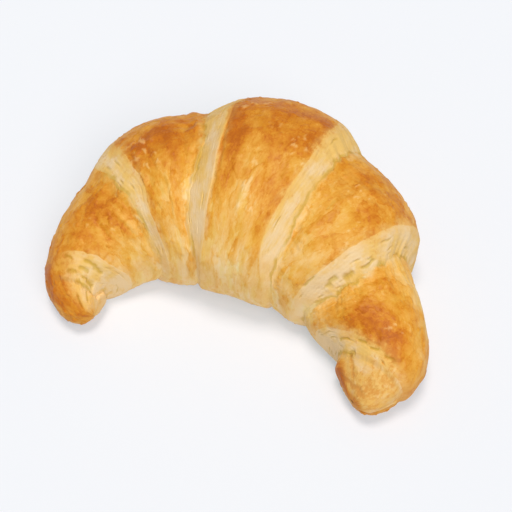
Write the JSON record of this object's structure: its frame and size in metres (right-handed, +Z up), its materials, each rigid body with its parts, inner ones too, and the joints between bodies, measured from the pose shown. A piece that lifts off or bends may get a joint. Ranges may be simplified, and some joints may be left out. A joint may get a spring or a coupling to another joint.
{
  "type": "croissant",
  "caption": "Butter croissant: a tapered dough roll bent into a crescent, with overlapping wraps, laminated cut edges and curled-in horns.",
  "frame": {"origin": "middle of the footprint's bounding box, on the surface that the croissant rests on", "axes": "+X from the left horn towards the right horn, +Y towards the round back of the crescent, so that the horns reach forward along -Y, and +Z up"},
  "size_m": [0.1416, 0.1042, 0.0547],
  "materials": {
    "crust": "egg-washed baked crust: golden brown on top, golden yellow on the sides and pale cream on the laminated cut edges, satin with small glossy blisters"
  },
  "bodies": {
    "root": {"croissant": "crust"}
  },
  "joints": []
}
